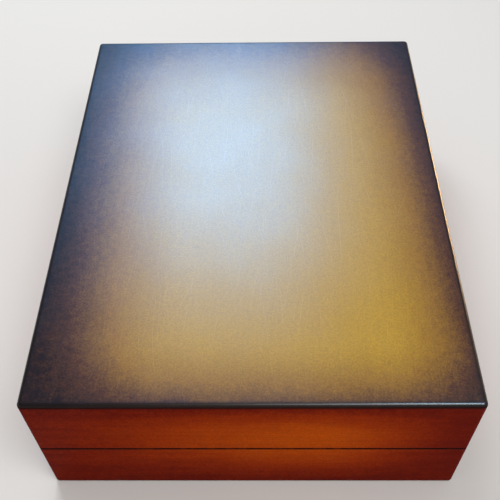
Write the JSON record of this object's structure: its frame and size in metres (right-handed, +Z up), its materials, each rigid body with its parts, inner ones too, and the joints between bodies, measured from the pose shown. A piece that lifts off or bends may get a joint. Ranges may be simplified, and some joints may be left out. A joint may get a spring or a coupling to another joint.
{
  "type": "wooden money box",
  "caption": "Lidded wooden money box: mitred lacquered case with a brass-hinged lid, felt lining and a lift-out coin tray over a flat space for notes.",
  "frame": {"origin": "middle of the footprint, on the surface that the box stands on", "axes": "+Z up, +Y towards the hinges at the back, the front faces -Y, +X to the right seen from the front"},
  "size_m": [0.22, 0.288, 0.088],
  "materials": {
    "lacquered_wood": "shaded amber and dark brown gloss lacquer",
    "inner_wood": "dark stain, satin",
    "tray_wood": "oiled, satin",
    "panel_wood": "plain board",
    "green_felt": "short-napped felt",
    "hinge_brass": "polished brass"
  },
  "bodies": {
    "base": {"base_front_rail": "lacquered_wood", "base_right_rail": "lacquered_wood", "base_back_rail": "lacquered_wood", "base_left_rail": "lacquered_wood", "bottom_panel": "panel_wood", "bottom_felt": "green_felt", "floor_lining": "green_felt", "lip_front": "inner_wood", "lip_right": "inner_wood", "lip_back": "inner_wood", "lip_left": "inner_wood", "tray_rest_left": "inner_wood", "tray_rest_right": "inner_wood", "base_hinge_leaf_left": "hinge_brass", "base_hinge_leaf_right": "hinge_brass", "hinge_pin_left": "hinge_brass", "hinge_pin_right": "hinge_brass", "base_hinge_screws": "hinge_brass"},
    "lid": {"lid_front_rail": "lacquered_wood", "lid_right_rail": "lacquered_wood", "lid_back_rail": "lacquered_wood", "lid_left_rail": "lacquered_wood", "lid_top_panel": "lacquered_wood", "lid_lining": "green_felt", "lid_hinge_leaf_left": "hinge_brass", "lid_hinge_leaf_right": "hinge_brass", "lid_hinge_screws": "hinge_brass"},
    "tray": {"tray_front_wall": "tray_wood", "tray_right_wall": "tray_wood", "tray_back_wall": "tray_wood", "tray_left_wall": "tray_wood", "tray_floor": "tray_wood", "tray_lining": "green_felt", "tray_handle_divider": "tray_wood", "tray_cross_divider": "tray_wood", "tray_left_divider": "tray_wood", "tray_right_divider": "tray_wood"}
  },
  "joints": [
    {"name": "lid_swing", "type": "hinge", "parent": "base", "child": "lid", "pos_m": [0, 0.14, 0.0425], "axis": [-1, 0, 0], "range_deg": [0, 95]},
    {"name": "tray_lift", "type": "slide", "parent": "base", "child": "tray", "axis": [0, 0, 1], "range_m": [0, 0.0285]}
  ]
}
